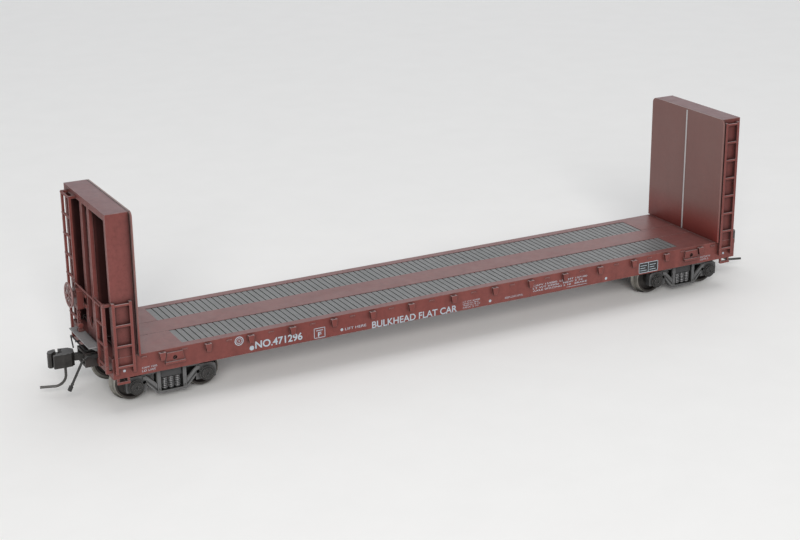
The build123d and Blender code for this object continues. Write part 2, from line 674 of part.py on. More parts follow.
axles = [-TRUCK_X - WHEELBASE / 2, -TRUCK_X + WHEELBASE / 2,
         TRUCK_X - WHEELBASE / 2, TRUCK_X + WHEELBASE / 2]
for i, x in enumerate(axles):
    save("axle_%d" % (i + 1), axle(x))
    save("wheels_%d" % (i + 1), [wheel(x, 1), wheel(x, -1)])
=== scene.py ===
import math

import bmesh
import bpy
from mathutils import Matrix, Vector


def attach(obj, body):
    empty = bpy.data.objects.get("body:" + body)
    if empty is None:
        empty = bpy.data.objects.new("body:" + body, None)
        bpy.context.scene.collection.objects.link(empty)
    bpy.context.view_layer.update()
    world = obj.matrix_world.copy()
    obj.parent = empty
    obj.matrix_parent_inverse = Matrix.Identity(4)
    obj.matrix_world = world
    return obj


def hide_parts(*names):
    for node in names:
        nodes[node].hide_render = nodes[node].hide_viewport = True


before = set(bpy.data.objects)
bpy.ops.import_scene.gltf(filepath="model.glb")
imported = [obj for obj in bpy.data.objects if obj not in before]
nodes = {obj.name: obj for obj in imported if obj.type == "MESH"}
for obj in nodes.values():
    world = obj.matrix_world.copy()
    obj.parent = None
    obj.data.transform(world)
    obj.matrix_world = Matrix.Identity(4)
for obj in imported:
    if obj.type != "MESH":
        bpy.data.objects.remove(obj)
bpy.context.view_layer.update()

MM = 0.001
LIFT = 0.64              # rail head above the frame's origin, mm

# ------------------------------------------------------------------ camera
yaw, pitch, roll = math.radians(62.124), math.radians(-19.194), math.radians(-0.593)
fwd = Vector((math.cos(pitch) * math.cos(yaw), math.cos(pitch) * math.sin(yaw),
              math.sin(pitch)))
right = fwd.cross(Vector((0, 0, 1))).normalized()
up = right.cross(fwd)
r2 = right * math.cos(roll) + up * math.sin(roll)
u2 = up * math.cos(roll) - right * math.sin(roll)
eye = Vector((-217.525, -396.156, 174.319 + LIFT)) * MM
cam_data = bpy.data.cameras.new("camera")
cam_data.lens = 73.97
cam_data.sensor_width = 36.0
cam_data.clip_start, cam_data.clip_end = 0.01, 20
cam = bpy.data.objects.new("camera", cam_data)
m = Matrix((r2, u2, -fwd)).transposed().to_4x4()
m.translation = eye
cam.matrix_world = m
bpy.context.scene.collection.objects.link(cam)
bpy.context.scene.camera = cam
bpy.context.scene.view_settings.view_transform = "Standard"


# ------------------------------------------------------------------ materials
class Mat:
    """A small helper that wires up a node material."""

    def __init__(self, name, rough=0.5, metal=0.0, spec=0.5):
        self.m = bpy.data.materials.new(name)
        self.m.use_nodes = True
        self.t = self.m.node_tree
        self.b = self.t.nodes["Principled BSDF"]
        self.b.inputs["Roughness"].default_value = rough
        self.b.inputs["Metallic"].default_value = metal
        self.b.inputs["Specular IOR Level"].default_value = spec
        self.co = self.node("ShaderNodeTexCoord").outputs["Object"]

    def node(self, kind, **inputs):
        n = self.t.nodes.new(kind)
        for k, v in inputs.items():
            n.inputs[k].default_value = v
        return n

    def link(self, a, b):
        self.t.links.new(a, b)

    def noise(self, scale, detail=4.0, rough=0.6, stretch=None):
        n = self.node("ShaderNodeTexNoise", Scale=scale, Detail=detail,
                      Roughness=rough)
        src = self.co
        if stretch:
            mp = self.node("ShaderNodeMapping")
            mp.inputs["Scale"].default_value = stretch
            self.link(src, mp.inputs["Vector"])
            src = mp.outputs["Vector"]
        self.link(src, n.inputs["Vector"])
        return n.outputs["Fac"]

    def ramp(self, fac, stops):
        n = self.node("ShaderNodeValToRGB")
        e = n.color_ramp.elements
        while len(e) < len(stops):
            e.new(0.5)
        for k, (p, c) in enumerate(stops):
            e[k].position = p
            e[k].color = (c, c, c, 1) if isinstance(c, float) else (*c, 1)
        self.link(fac, n.inputs["Fac"])
        return n.outputs["Color"]

    def math(self, op, a, b=None, clamp=False):
        n = self.node("ShaderNodeMath")
        n.operation = op
        n.use_clamp = clamp
        for i, v in enumerate((a, b)):
            if v is None:
                continue
            if isinstance(v, (int, float)):
                n.inputs[i].default_value = v
            else:
                self.link(v, n.inputs[i])
        return n.outputs[0]

    def mix(self, fac, a, b):
        n = self.node("ShaderNodeMix")
        n.data_type = "RGBA"
        for sock, v in ((n.inputs[0], fac), (n.inputs[6], a), (n.inputs[7], b)):
            if isinstance(v, (int, float)):
                sock.default_value = v
            elif isinstance(v, tuple):
                sock.default_value = (*v, 1)
            else:
                self.link(v, sock)
        return n.outputs[2]

    def split(self, src=None):
        n = self.node("ShaderNodeSeparateXYZ")
        self.link(src or self.co, n.inputs[0])
        return n.outputs

    def normal(self):
        return self.node("ShaderNodeNewGeometry").outputs["Normal"]

    def edges(self, radius):
        # 1 along sharp edges, 0 on the flats; also gives the rounded normal
        bev = self.node("ShaderNodeBevel", Radius=radius)
        bev.samples = 6
        dot = self.node("ShaderNodeVectorMath")
        dot.operation = "DOT_PRODUCT"
        self.link(bev.outputs[0], dot.inputs[0])
        self.link(self.normal(), dot.inputs[1])
        mask = self.math("MULTIPLY", self.math("SUBTRACT", 1.0, dot.outputs["Value"]),
                         5.0, clamp=True)
        return mask, bev.outputs[0]

    def occlusion_shade(self, distance, power=1.0):
        # AO factor for painted shade: 1 in the open, towards 0 in corners and recesses
        ao = self.node("ShaderNodeAmbientOcclusion", Distance=distance)
        ao.samples = 8
        return self.math("POWER", ao.outputs["AO"], power)

    def bump(self, height, strength, distance, normal=None):
        n = self.node("ShaderNodeBump", Strength=strength, Distance=distance)
        self.link(height, n.inputs["Height"])
        if normal is not None:
            self.link(normal, n.inputs["Normal"])
        self.link(n.outputs[0], self.b.inputs["Normal"])

    def color(self, c):
        self.link(c, self.b.inputs["Base Color"])

    def rough(self, fac, lo, hi):
        mr = self.node("ShaderNodeMapRange")
        mr.inputs["To Min"].default_value = lo
        mr.inputs["To Max"].default_value = hi
        self.link(fac, mr.inputs["Value"])
        self.link(mr.outputs[0], self.b.inputs["Roughness"])


def painted(name, base, light, dark, dust_and_sheen, rough=(0.36, 0.52), edge_wear_highlight=None,
            grime=True, edge_r=0.00016, dust_and_sheen_top=0.16, depth=0.004,
            power=1.3, extra=None, spec=0.5):
    # moulded plastic under a thin, slightly uneven coat of matt paint
    p = Mat(name, spec=spec)
    broad = p.noise(28.0, 3.0)
    fine = p.noise(900.0, 6.0, 0.7)
    c = p.mix(p.ramp(broad, [(0.35, 0.0), (0.68, 1.0)]), base, light)
    c = p.mix(p.math("MULTIPLY", p.ramp(fine, [(0.45, 0.0), (0.75, 1.0)]), 0.35),
              c, dark)
    if grime:
        # darker run-down streaks on upright faces, collected low on the car
        streak = p.noise(260.0, 5.0, 0.65, stretch=(1.0, 1.0, 0.08))
        z = p.split()["Z"]
        low = p.node("ShaderNodeMapRange")
        low.inputs["From Min"].default_value = 0.017
        low.inputs["From Max"].default_value = 0.008
        p.link(z, low.inputs["Value"])
        g = p.math("MULTIPLY", p.ramp(streak, [(0.45, 0.0), (0.7, 1.0)]),
                   p.math("ADD", 0.18, p.math("MULTIPLY", low.outputs[0], 0.25)))
        c = p.mix(g, c, dark)
    # dust lying on faces that look up, partly a painted sheen: up-facing tops are
    # lightened like a pale sky reflection
    nz = p.split(p.normal())["Z"]
    topf = p.ramp(nz, [(0.6, 0.0), (0.95, 1.0)])
    patch = p.ramp(p.noise(120.0, 5.0, 0.7), [(0.3, 0.5), (0.7, 1.0)])
    c = p.mix(p.math("MULTIPLY", p.math("MULTIPLY", topf, patch), dust_and_sheen_top), c, dust_and_sheen)
    if extra:
        c = extra(p, c)
    # painted shade: the colour is darkened towards near-black in corners and recesses
    c = p.mix(p.occlusion_shade(depth, power), tuple(0.12 * v for v in dark), c)
    mask, rounded = p.edges(edge_r)
    # edge colour: partly wear, partly a painted highlight on the edges that catch the
    # light
    if edge_wear_highlight:
        wear_and_highlight = p.ramp(p.noise(600.0, 3.0), [(0.35, 0.45), (0.6, 1.0)])
        c = p.mix(p.math("MULTIPLY", p.math("MULTIPLY", mask, wear_and_highlight), 0.6), c, edge_wear_highlight)
    p.color(c)
    p.rough(p.noise(400.0, 5.0), *rough)
    p.bump(fine, 0.25, 0.00004, rounded)
    return p.m


RED = (0.158, 0.033, 0.027)
RED_L = (0.188, 0.050, 0.042)
RED_D = (0.062, 0.012, 0.010)
DUST_AND_SHEEN = (0.30, 0.25, 0.25)
EDGE_WEAR_HIGHLIGHT = (0.36, 0.26, 0.25)


def pocket_top_highlight(p, c):
    # painted highlight: the up-facing tops of the stake pockets and brackets are painted
    # pale where they catch the light
    xyz = p.split()
    out = p.node("ShaderNodeMapRange")
    out.inputs["From Min"].default_value = 0.01682
    out.inputs["From Max"].default_value = 0.01690
    p.link(p.math("ABSOLUTE", xyz["Y"]), out.inputs["Value"])
    top = p.ramp(p.split(p.normal())["Z"], [(0.7, 0.0), (0.9, 1.0)])
    return p.mix(p.math("MULTIPLY", p.math("MULTIPLY", out.outputs[0], top), 0.6),
                 c, (0.62, 0.52, 0.52))


def bulkhead_face(p, c):
    # painted light: the face is painted greyer and paler high up and deeper red at the
    # foot, as the light falls down it; pale joint strip
    xyz = p.split()
    hi = p.node("ShaderNodeMapRange")
    hi.inputs["From Min"].default_value = 0.0165
    hi.inputs["From Max"].default_value = 0.027
    p.link(xyz["Z"], hi.inputs["Value"])
    soft = p.ramp(hi.outputs[0], [(0.0, 0.0), (1.0, 1.0)])
    patch = p.ramp(p.noise(60.0, 3.0), [(0.3, 0.82), (0.7, 1.0)])
    c = p.mix(p.math("MULTIPLY", p.math("MULTIPLY", soft, patch), 0.62), c,
              (0.205, 0.125, 0.112))
    # painted shade: the foot of the load face is painted a deeper red
    foot = p.node("ShaderNodeMapRange")
    foot.inputs["From Min"].default_value = 0.0255
    foot.inputs["From Max"].default_value = 0.0175
    p.link(xyz["Z"], foot.inputs["Value"])
    c = p.mix(p.math("MULTIPLY", foot.outputs[0], 0.62), c, (0.185, 0.016, 0.010))
    # painted shade: the back of the plate, deep between the posts, is painted almost
    # black
    deep = p.node("ShaderNodeMapRange")
    deep.inputs["From Min"].default_value = 0.09335
    deep.inputs["From Max"].default_value = 0.09360
    p.link(p.math("ABSOLUTE", xyz["X"]), deep.inputs["Value"])
    c = p.mix(p.math("MULTIPLY", deep.outputs[0], 0.90), c, (0.013, 0.002, 0.002))
    band = p.math("LESS_THAN", p.math("ABSOLUTE", xyz["Y"]), 0.0003)
    inner_side = p.math("LESS_THAN", p.math("ABSOLUTE", xyz["X"]), 0.093)
    return p.mix(p.math("MULTIPLY", p.math("MULTIPLY", band, inner_side), 0.9), c,
                 (0.52, 0.52, 0.53))


def frame_bays(p, c):
    # painted shade: the sides of the bays are painted darker towards the plate
    deep = p.node("ShaderNodeMapRange")
    deep.inputs["From Min"].default_value = 0.0996
    deep.inputs["From Max"].default_value = 0.0978
    xyz = p.split()
    p.link(p.math("ABSOLUTE", xyz["X"]), deep.inputs["Value"])
    bay = p.math("LESS_THAN", p.math("ABSOLUTE", xyz["Y"]), 0.01585)
    low = p.math("LESS_THAN", xyz["Z"], 0.0535)
    k = p.math("MULTIPLY", p.math("MULTIPLY", bay, low), deep.outputs[0])
    return p.mix(p.math("MULTIPLY", k, 0.90), c, (0.012, 0.002, 0.002))


def truck_extra(p, c):
    # bearing caps are darker than the frame: partly their own black, partly painted shade
    xyz = p.split()
    dz = p.math("SUBTRACT", xyz["Z"], (4.815 + LIFT) * MM)
    dx = p.math("SUBTRACT", p.math("ABSOLUTE", p.math(
        "SUBTRACT", p.math("ABSOLUTE", xyz["X"]), 0.0837)), 0.0099)
    r = p.math("SQRT", p.math("ADD", p.math("MULTIPLY", dx, dx),
                              p.math("MULTIPLY", dz, dz)))
    out = p.math("ABSOLUTE", xyz["Y"])
    cap = p.math("MULTIPLY", p.math("LESS_THAN", r, 0.00203),
                 p.math("GREATER_THAN", out, 0.01362))
    # the bearing housings are darker too, partly their own black and partly painted
    # shade; everything set back behind the face gets painted shade
    near = p.node("ShaderNodeMapRange")
    near.inputs["From Min"].default_value = 0.0031
    near.inputs["From Max"].default_value = 0.0023
    p.link(r, near.inputs["Value"])
    back = p.node("ShaderNodeMapRange")
    back.inputs["From Min"].default_value = 0.01350
    back.inputs["From Max"].default_value = 0.01320
    p.link(out, back.inputs["Value"])
    c = p.mix(p.math("MULTIPLY", near.outputs[0], 0.62), c, (0.018, 0.017, 0.018))
    c = p.mix(p.math("MULTIPLY", back.outputs[0], 0.72), c, (0.012, 0.012, 0.013))
    return p.mix(p.math("MULTIPLY", cap, 0.88), c, (0.016, 0.015, 0.014))


body = painted("oxide_paint", RED, RED_L, RED_D, DUST_AND_SHEEN, edge_wear_highlight=EDGE_WEAR_HIGHLIGHT, extra=pocket_top_highlight,
               depth=0.0025, spec=0.42)
face = painted("bulkhead_face_paint", RED, RED_L, RED_D, DUST_AND_SHEEN, edge_wear_highlight=EDGE_WEAR_HIGHLIGHT,
               extra=bulkhead_face, depth=0.006, power=1.0)
inner = painted("oxide_paint_frame", (0.162, 0.041, 0.036), (0.192, 0.058, 0.052),
                (0.03, 0.008, 0.007),
                (0.150, 0.125, 0.145), edge_wear_highlight=(0.46, 0.37, 0.36), dust_and_sheen_top=0.34,
                depth=0.006, power=1.7, edge_r=0.0002, extra=frame_bays, spec=0.3)
wheel_paint = painted("brake_wheel_paint", (0.20, 0.085, 0.08), (0.26, 0.15, 0.145),
                      (0.09, 0.03, 0.028), (0.36, 0.30, 0.30), edge_wear_highlight=(0.50, 0.42, 0.42),
                      grime=False, edge_r=0.00014, depth=0.002)
# painted shade: a darkened copy of the oxide red for the parts under the car, which sit
# in shade
under = painted("oxide_paint_under", (0.05, 0.012, 0.010), (0.07, 0.018, 0.015),
                (0.02, 0.006, 0.005), (0.12, 0.09, 0.09), edge_wear_highlight=(0.12, 0.07, 0.06),
                depth=0.010, power=1.6)
strip = painted("floor_strip_paint", (0.125, 0.13, 0.13), (0.155, 0.158, 0.158),
                (0.05, 0.047, 0.047), (0.30, 0.29, 0.29), grime=False,
                rough=(0.38, 0.55), edge_wear_highlight=(0.32, 0.32, 0.32), edge_r=0.0001,
                depth=0.0005, power=1.0)
plat = painted("platform_paint", (0.20, 0.20, 0.205), (0.26, 0.26, 0.265),
               (0.09, 0.08, 0.08), (0.36, 0.35, 0.35), grime=False,
               edge_wear_highlight=(0.45, 0.45, 0.45), edge_r=0.0001, depth=0.002)
# painted shade: a darker copy of the truck plastic for the bolster and the spring blocks,
# which sit back in shade
truck_shaded = painted("truck_plastic_shaded", (0.026, 0.026, 0.028),
                     (0.042, 0.042, 0.044), (0.010, 0.010, 0.010),
                     (0.12, 0.12, 0.12), rough=(0.42, 0.62),
                     edge_wear_highlight=(0.22, 0.22, 0.22), edge_r=0.00012, depth=0.003,
                     power=1.8, grime=False)
truck = painted("truck_plastic", (0.080, 0.080, 0.082), (0.120, 0.120, 0.122),
                (0.012, 0.011, 0.011), (0.20, 0.19, 0.18), rough=(0.42, 0.62),
                edge_wear_highlight=(0.34, 0.335, 0.33), edge_r=0.00012, dust_and_sheen_top=0.3,
                depth=0.0035, power=2.4, extra=truck_extra, grime=False)
black = painted("draft_box_plastic", (0.022, 0.016, 0.015), (0.035, 0.026, 0.024),
                (0.008, 0.007, 0.007), (0.14, 0.12, 0.12), rough=(0.4, 0.6),
                edge_wear_highlight=(0.12, 0.10, 0.10), edge_r=0.00012, grime=False)
hosem = painted("hose_rubber", (0.014, 0.014, 0.014), (0.022, 0.021, 0.021),
                (0.006, 0.006, 0.006), (0.10, 0.10, 0.10), rough=(0.45, 0.65),
                grime=False, edge_r=0.00008)


def metal(name, base, light, dark, rough=(0.3, 0.5), metallic=0.85, scale=700.0):
    p = Mat(name, metal=metallic)
    n = p.noise(scale, 6.0, 0.7)
    c = p.mix(p.ramp(n, [(0.3, 0.0), (0.7, 1.0)]), base, light)
    stain = p.ramp(p.noise(150.0, 4.0), [(0.5, 0.0), (0.72, 1.0)])
    c = p.mix(p.math("MULTIPLY", stain, 0.5), c, dark)
    p.color(c)
    p.rough(p.noise(500.0, 4.0), *rough)
    mask, rounded = p.edges(0.00008)
    p.bump(n, 0.3, 0.00003, rounded)
    return p.m


cast = metal("coupler_cast_metal", (0.028, 0.026, 0.025), (0.048, 0.045, 0.043),
             (0.012, 0.010, 0.009), rough=(0.34, 0.55), metallic=0.4)
steel = metal("blackened_steel", (0.05, 0.048, 0.046), (0.085, 0.08, 0.077),
              (0.02, 0.018, 0.016), rough=(0.3, 0.5), metallic=0.6)
coil = metal("spring_wire", (0.20, 0.20, 0.205), (0.32, 0.32, 0.325),
             (0.08, 0.078, 0.078), rough=(0.28, 0.42), metallic=0.6)
bronze = metal("spring_bronze", (0.42, 0.28, 0.12), (0.55, 0.38, 0.18),
               (0.18, 0.10, 0.05))
screw = metal("screw_steel", (0.38, 0.37, 0.36), (0.5, 0.49, 0.48),
              (0.16, 0.15, 0.14))


def wheel_mat(name, x_mm):
    # bright worn tread and rim, dark dished face: split by the radius
    p = Mat(name)
    xyz = p.split()
    dx = p.math("SUBTRACT", xyz["X"], x_mm * MM)
    dz = p.math("SUBTRACT", xyz["Z"], (4.815 + LIFT) * MM)
    r = p.math("SQRT", p.math("ADD", p.math("MULTIPLY", dx, dx),
                              p.math("MULTIPLY", dz, dz)))
    rim = p.node("ShaderNodeMapRange")
    rim.inputs["From Min"].default_value = 0.00448
    rim.inputs["From Max"].default_value = 0.00458
    p.link(r, rim.inputs["Value"])
    rimf = rim.outputs[0]
    n = p.noise(800.0, 5.0, 0.7)
    bright = p.mix(p.ramp(n, [(0.35, 0.0), (0.7, 1.0)]), (0.30, 0.29, 0.26),
                   (0.42, 0.405, 0.37))
    dull = p.mix(p.ramp(n, [(0.35, 0.0), (0.7, 1.0)]), (0.022, 0.018, 0.016),
                 (0.045, 0.037, 0.033))
    c = p.mix(rimf, dull, bright)
    # painted shade: the wheel colour is darkened in its recesses by AO
    p.color(p.mix(p.occlusion_shade(0.003, 1.5), (0.004, 0.003, 0.003), c))
    p.link(rimf, p.b.inputs["Metallic"])
    ro = p.math("SUBTRACT", p.math("ADD", 0.55, p.math("MULTIPLY", n, 0.15)),
                p.math("MULTIPLY", rimf, 0.25))
    p.link(ro, p.b.inputs["Roughness"])
    mask, rounded = p.edges(0.00012)
    p.bump(n, 0.25, 0.00003, rounded)
    return p.m


def assign(o, mat):
    o.data.materials.clear()
    o.data.materials.append(mat)
    for poly in o.data.polygons:
        poly.material_index = 0


axle_x = [-93.6, -73.8, 73.8, 93.6]
for n, o in nodes.items():
    if n.startswith("floor_strip"):
        mt = strip
    elif n.startswith("side_frame"):
        mt = truck
    elif n.startswith("truck_bolster"):
        mt = truck_shaded
    elif n.startswith("wheels_"):
        k = int(n[-1]) - 1
        mt = wheel_mat("wheel_metal_%d" % (k + 1), axle_x[k])
    elif n.startswith(("coupler", "knuckle")):
        mt = cast
    elif n.startswith(("trip_pin",)):
        mt = steel
    elif n.startswith("axle"):
        mt = steel
    elif n == "centring_springs":
        mt = bronze
    elif n in ("truck_screws", "draft_box_screws"):
        mt = screw
    elif n.startswith("draft_box"):
        mt = black
    elif n == "end_platform":
        mt = plat
    elif n in ("air_hoses", "uncoupling_levers"):
        mt = hosem
    elif n == "brake_wheel":
        mt = wheel_paint
    elif n.startswith("truck_springs"):
        mt = truck_shaded
    elif n.startswith("bulkhead_frame"):
        mt = inner
    elif n.startswith("bulkhead_face"):
        mt = face
    elif n in ("underframe", "train_line", "air_reservoir", "brake_cylinder",
               "control_valve", "brake_lever"):
        mt = under
    else:
        mt = body
    assign(o, mt)


# ------------------------------------------------------------------ pieces
def put(name, bm, mat, body_name, smooth=True):
    me = bpy.data.meshes.new(name)
    bmesh.ops.recalc_face_normals(bm, faces=bm.faces)
    bm.to_mesh(me)
    bm.free()
    if smooth:
        for poly in me.polygons:
            poly.use_smooth = True
    me.materials.append(mat)
    o = bpy.data.objects.new(name, me)
    bpy.context.scene.collection.objects.link(o)
    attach(o, body_name)
    return o


def frame_of(axis):
    n = Vector(axis).normalized()
    u = n.orthogonal().normalized()
    return n, u, n.cross(u)


def dome(bm, p, axis, r, h, seg=10, rings=3, flat=False):
    # a rivet or bolt head: rings of points rising to a crown
    n, u, v = frame_of(axis)
    c = Vector(p) * MM
    rows = []
    for k in range(rings + 1):
        a = k / rings * math.pi / 2
        rr = r * (math.cos(a) if not flat else (1.0 if k < rings else 0.82))
        hh = h * (math.sin(a) if not flat else k / rings)
        if not flat and k == rings:
            rows.append([bm.verts.new(c + n * (h * MM))])
            break
        rows.append([bm.verts.new(c + n * (hh * MM)
                                  + (u * math.cos(t) + v * math.sin(t)) * (rr * MM))
                     for t in [2 * math.pi * i / seg for i in range(seg)]])
    for a, b in zip(rows[:-1], rows[1:]):
        for i in range(seg):
            j = (i + 1) % seg
            if len(b) == 1:
                bm.faces.new((a[i], a[j], b[0]))
            else:
                bm.faces.new((a[i], a[j], b[j], b[i]))
    if flat:
        bm.faces.new(rows[-1])


def tube(bm, pts, r, seg=8, closed=False):
    pts = [Vector(p) * MM for p in pts]
    cnt = len(pts)
    rings = []
    ref = Vector((0.13, 0.37, 0.92)).normalized()
    for i, p in enumerate(pts):
        a = pts[(i - 1) % cnt] if closed or i else pts[0]
        b = pts[(i + 1) % cnt] if closed or i < cnt - 1 else pts[-1]
        t = (b - a).normalized()
        u = ref.cross(t).normalized()
        w = t.cross(u)
        rings.append([bm.verts.new(p + (u * math.cos(q) + w * math.sin(q)) * (r * MM))
                      for q in [2 * math.pi * k / seg for k in range(seg)]])
    pairs = list(zip(rings[:-1], rings[1:]))
    if closed:
        pairs.append((rings[-1], rings[0]))
    for a, b in pairs:
        for k in range(seg):
            j = (k + 1) % seg
            bm.faces.new((a[k], a[j], b[j], b[k]))
    if not closed:
        bm.faces.new(rings[0])
        bm.faces.new(list(reversed(rings[-1])))


def plate(bm, corners, n, t):
    # thin plate with its outline and a thickness along n, in mm
    n = Vector(n) * (t * MM)
    lo = [bm.verts.new(Vector(c) * MM) for c in corners]
    hi = [bm.verts.new(Vector(c) * MM + n) for c in corners]
    k = len(lo)
    bm.faces.new(lo)
    bm.faces.new(list(reversed(hi)))
    for i in range(k):
        j = (i + 1) % k
        bm.faces.new((lo[i], lo[j], hi[j], hi[i]))


# --- printed marks on the side sills: generic words and numbers only
SIDE_Y = -16.8


def marks(name, side):
    bm = bmesh.new()
    dark = bmesh.new()

    def place(x, z, d=0.0):
        # side -1 is the near side; the far one is half a turn round
        p = Vector((x, SIDE_Y - 0.004 - d, z + LIFT)) * MM
        return p if side < 0 else Vector((-p.x, -p.y, p.z))

    def bar(b, x0, x1, z0, z1, d=0.0):
        vs = [b.verts.new(place(x, z, d)) for x, z in
              ((x0, z0), (x1, z0), (x1, z1), (x0, z1))]
        b.faces.new(vs)

    def ring(b, cx, cz, r0, r1, seg=28, a0=0, a1=360):
        n = max(3, int(seg * (a1 - a0) / 360))
        row = []
        for i in range(n + 1):
            t = math.radians(a0 + (a1 - a0) * i / n)
            row.append((b.verts.new(place(cx + r0 * math.cos(t), cz + r0 * math.sin(t))),
                        b.verts.new(place(cx + r1 * math.cos(t), cz + r1 * math.sin(t)))))
        for p, q in zip(row[:-1], row[1:]):
            b.faces.new((p[0], p[1], q[1], q[0]))

    def disc(b, cx, cz, r, seg=16, d=0.0):
        b.faces.new([b.verts.new(place(cx + r * math.cos(2 * math.pi * i / seg),
                                       cz + r * math.sin(2 * math.pi * i / seg), d))
                     for i in range(seg)])

    def text(words, x0, x1, z0, z1, b=bm, weight=0.0):
        cu = bpy.data.curves.new("words", "FONT")
        cu.body = words
        cu.offset = weight
        ob = bpy.data.objects.new("words", cu)
        bpy.context.scene.collection.objects.link(ob)
        dg = bpy.context.evaluated_depsgraph_get()
        me = bpy.data.meshes.new_from_object(ob.evaluated_get(dg))
        xs = [v.co.x for v in me.vertices]
        ys = [v.co.y for v in me.vertices]
        lx, hx, ly, hy = min(xs), max(xs), min(ys), max(ys)
        vs = [b.verts.new(place(x0 + (v.co.x - lx) / (hx - lx) * (x1 - x0),
                                z0 + (v.co.y - ly) / (hy - ly) * (z1 - z0)))
              for v in me.vertices]
        for poly in me.polygons:
            try:
                b.faces.new([vs[i] for i in poly.vertices])
            except ValueError:
                pass
        bpy.data.objects.remove(ob)
        bpy.data.meshes.remove(me)
        bpy.data.curves.remove(cu)

    text("CAPY 1500", -92.7, -88.6, 10.85, 11.35)
    text("LD LMT", -92.7, -88.9, 9.95, 10.5)
    ring(bm, -65.45, 13.3, 1.04, 1.28)
    ring(bm, -65.45, 13.3, 0.66, 0.80)
    bar(bm, -65.55, -65.35, 12.95, 13.65)
    disc(bm, -61.9, 10.6, 0.66)
    text("NO.471296", -60.9, -47.0, 10.15, 12.3, weight=0.022)
    for q in (-1, 1):
        bar(bm, -41.85 + q * 1.6 - 0.09, -41.85 + q * 1.6 + 0.09, 9.65, 12.6)
    for q in (9.65, 12.42):
        bar(bm, -43.5, -40.2, q, q + 0.18)
    text("F", -42.35, -41.3, 10.05, 11.35, weight=0.02)
    bar(bm, -42.9, -40.8, 11.75, 11.95)
    disc(bm, -35.1, 10.7, 0.42)
    text("LIFT HERE", -34.1, -27.6, 10.35, 11.05)
    text("BULKHEAD FLAT CAR", -25.8, 1.3, 9.3, 11.3, weight=0.016)
    for i, w in enumerate(("LT WT 62900", "LENGTH 48 0", "WIDTH 9 10", "NEW 2 74")):
        text(w, 3.3, 8.9 - 0.5 * (i % 2), 11.55 - 0.6 * i, 11.95 - 0.6 * i)
    disc(bm, 12.3, 10.5, 0.42)
    text("KEEP LOAD LEVEL", 17.3, 23.4, 10.2, 10.75)
    for i, w in enumerate(("CAPY 154000  LD LMT 157100", "LT WT 62900   NEW 2 74",
                           "AXLE SPACING 5 10   BRAKE")):
        text(w, 26.8, 45.7 - 1.6 * (i % 2), 12.15 - 0.8 * i, 12.68 - 0.8 * i,
             weight=0.008)
    bar(bm, 38.5, 45.7, 9.95, 10.06)
    disc(bm, 52.55, 10.3, 0.42)
    # two-part inspection panel: white frame, black fields
    for x in (64.5, 71.37):
        bar(bm, x, x + 0.18, 9.65, 12.9)
    for z in (9.65, 12.72):
        bar(bm, 64.5, 71.55, z, z + 0.18)
    bar(bm, 67.9, 68.05, 9.83, 12.72)
    bar(dark, 64.68, 67.9, 9.83, 12.72)
    bar(dark, 68.05, 71.37, 9.83, 12.72)
    for x0 in (65.05, 68.4):
        for k in range(3):
            bar(bm, x0, x0 + 2.3 - 0.5 * (k % 2), 11.85 - 0.75 * k, 12.03 - 0.75 * k,
                0.006)
    text("IN DATE", 87.5, 91.3, 10.85, 11.3)
    text("COTS 2", 87.5, 90.6, 10.0, 10.5)
    disc(bm, -97.43, 11.27, 0.36)
    disc(bm, 96.34, 10.97, 0.36)
    put("side_marks_" + name, bm, ink, "carbody", smooth=False)
    put("side_panels_" + name, dark, ink_black, "carbody", smooth=False)


p = Mat("mark_ink", rough=0.5)
wear = p.ramp(p.noise(1500.0, 5.0, 0.7), [(0.30, 0.0), (0.42, 1.0)])
p.color(p.mix(wear, (0.24, 0.15, 0.15), (0.36, 0.42, 0.47)))
p.bump(p.noise(2500.0, 3.0), 0.2, 0.00002)
ink = p.m
p = Mat("panel_ink", rough=0.45)
p.color(p.mix(p.noise(1200.0, 5.0), (0.008, 0.008, 0.009), (0.025, 0.022, 0.022)))
p.bump(p.noise(2500.0, 3.0), 0.2, 0.00002)
ink_black = p.m
marks("right", -1)
marks("left", 1)

# --- bolt and rivet heads
turned = lambda q: (-q[0], -q[1], q[2])
flip = lambda v: (-v[0], -v[1], v[2])


def both(bm, pt, axis, r, h, **kw):
    q = (pt[0], pt[1], pt[2] + LIFT)
    dome(bm, q, axis, r, h, **kw)
    dome(bm, turned(q), flip(axis), r, h, **kw)


bm = bmesh.new()
# rivet row along the bulkhead's rear posts and side flanges
for k in range(17):
    z = 17.5 + 2.1 * k
    for y in (-2.9, 2.9):
        xr = -99.9 - 0.35 * (53.0 - z) / 38.0
        both(bm, (xr, y + 0.55, z), (-1, 0, 0), 0.14, 0.08, seg=8)
        both(bm, (xr, y - 0.55, z), (-1, 0, 0), 0.14, 0.08, seg=8)
for k in range(9):
    both(bm, (-99.9, -14.6 + 3.65 * k, 52.75), (-1, 0, 0), 0.16, 0.08, seg=8)
# end sill rivets
for y in (-15.9, -14.9, -8.6, -7.7, 5.2, 5.9, 9.3, 15.0, 15.9):
    both(bm, (-100.5, y, 13.9), (-1, 0, 0), 0.16, 0.08, seg=8)
# side sill rivets beside the towing brackets
for e in (-1, 1):
    for dx in (-1.9, 1.9):
        both(bm, (e * 83.7 + dx, -17.3, 13.3), (0, -1, 0), 0.16, 0.08, seg=8)
put("rivets", bm, body, "carbody")

